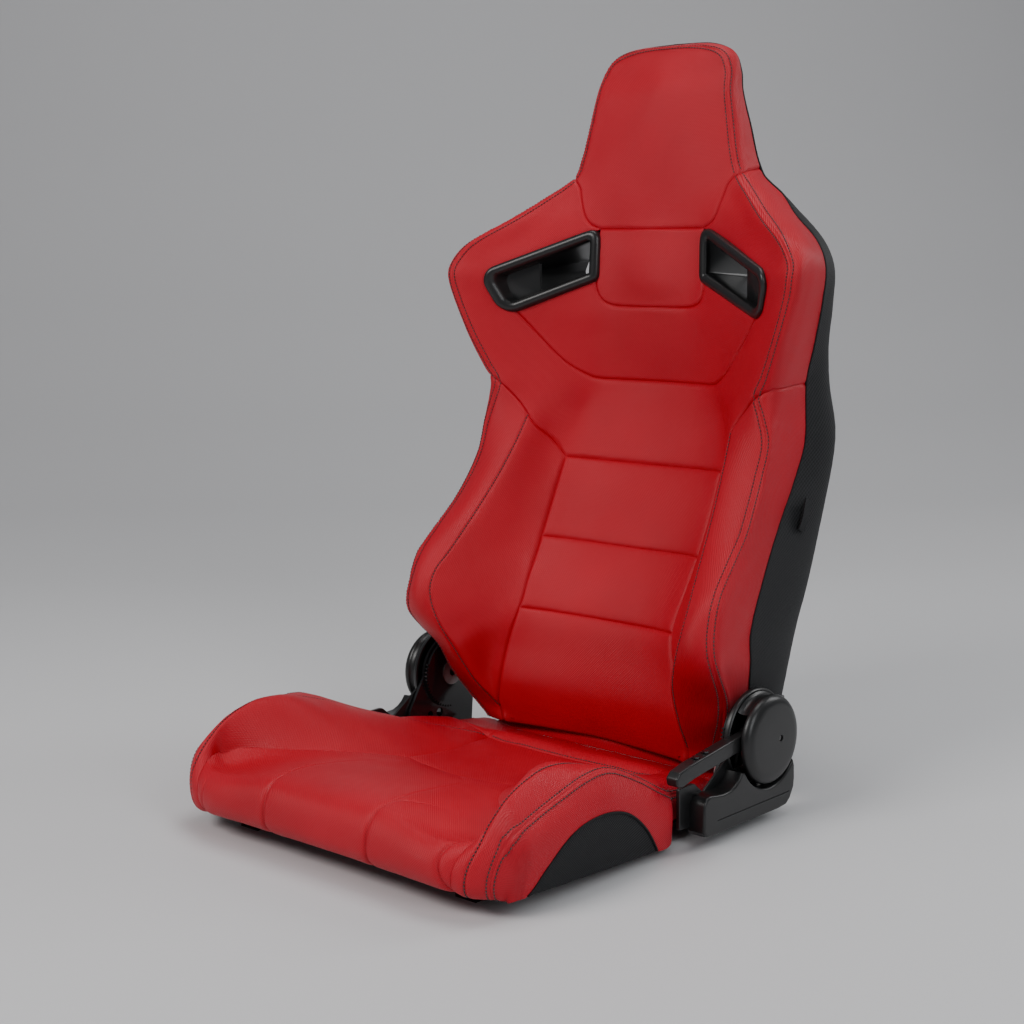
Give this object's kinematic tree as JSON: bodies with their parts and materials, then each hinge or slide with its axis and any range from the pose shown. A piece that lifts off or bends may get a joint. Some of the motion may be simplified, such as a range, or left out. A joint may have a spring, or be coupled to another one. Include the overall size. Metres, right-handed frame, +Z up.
{
  "type": "reclining racing seat",
  "caption": "Reclining bucket-style sports seat with deep side bolsters, fixed headrest, two harness slots, side recline lever and a bottom-mount frame.",
  "frame": {"origin": "centre of the four tapped mounting holes, on the underside plane of the base rails", "axes": "+Z up, -Y the way the seat faces, +X the occupant's left, where the recline lever is"},
  "size_m": [0.58, 0.7143, 0.938],
  "materials": {
    "leather_red": "red leatherette with a fine diagonal weave embossed in it, black stitching",
    "woven_black": "black twill weave over a stiff backing",
    "plastic_black": "satin, finely textured",
    "steel_black": "gloss black powder coat",
    "steel_plain": "zinc-plated steel"
  },
  "bodies": {
    "base": {"side_rail_left": "steel_black", "side_rail_right": "steel_black", "front_cross_tube": "steel_black", "rear_cross_tube": "steel_black", "hinge_outrigger_left": "steel_black", "hinge_outrigger_right": "steel_black", "mounting_bushes": "steel_plain", "seat_pan": "steel_plain", "seat_pan_bolts": "steel_plain", "front_roll": "leather_red", "seat_insert_pad": "leather_red", "seat_rear_strip": "leather_red", "thigh_bolster_left": "leather_red", "thigh_bolster_right": "leather_red", "side_arch_left": "woven_black", "side_arch_right": "woven_black", "lower_hinge_plate_left": "steel_black", "lower_hinge_plate_right": "steel_black", "hinge_bush_left": "steel_plain", "hinge_bush_right": "steel_plain", "pawl_pin": "steel_plain", "return_spring": "steel_black", "recliner_cover_left": "plastic_black", "recliner_cover_right": "plastic_black", "recliner_cap_left": "plastic_black", "recliner_cap_right": "plastic_black", "cap_screws": "steel_plain", "lever_spring": "steel_plain"},
    "backrest": {"upper_hinge_plate_left": "steel_black", "upper_hinge_plate_right": "steel_black", "upright_left": "steel_black", "upright_right": "steel_black", "lower_back_tube": "steel_black", "shoulder_tube": "steel_black", "headrest_hoop": "steel_black", "wing_strap_left": "steel_black", "wing_strap_right": "steel_black", "lumbar_wires": "steel_plain", "headrest_pad": "leather_red", "neck_pad": "leather_red", "upper_back_pad": "leather_red", "middle_back_pad": "leather_red", "lumbar_pad_upper": "leather_red", "lumbar_pad_middle": "leather_red", "lumbar_pad_lower": "leather_red", "shoulder_wing_left": "leather_red", "shoulder_wing_right": "leather_red", "back_bolster_left": "leather_red", "back_bolster_right": "leather_red", "rear_cover": "woven_black", "harness_guide_left": "plastic_black", "harness_guide_right": "plastic_black", "side_tab": "woven_black"},
    "release": {"release_lever": "plastic_black", "lever_screws": "steel_plain", "release_shaft": "steel_plain", "release_cam": "steel_plain"},
    "pawl": {"locking_pawl": "steel_plain"}
  },
  "joints": [
    {"name": "recline", "type": "hinge", "parent": "base", "child": "backrest", "pos_m": [0, 0.207, 0.103], "axis": [-1, 0, 0], "range_deg": [-35, 50]},
    {"name": "lever", "type": "hinge", "parent": "base", "child": "release", "pos_m": [0.27, 0.207, 0.103], "axis": [-1, 0, 0], "range_deg": [0, 20], "stiffness_Nm_per_rad": 3, "springref_deg": -11.46},
    {"name": "pawl", "type": "hinge", "parent": "base", "child": "pawl", "pos_m": [0.248, 0.168, 0.048], "axis": [1, 0, 0], "range_deg": [0, 10]}
  ],
  "couplings": [
    {"joint": "pawl", "follows": "lever", "ratio": 0.5}
  ]
}
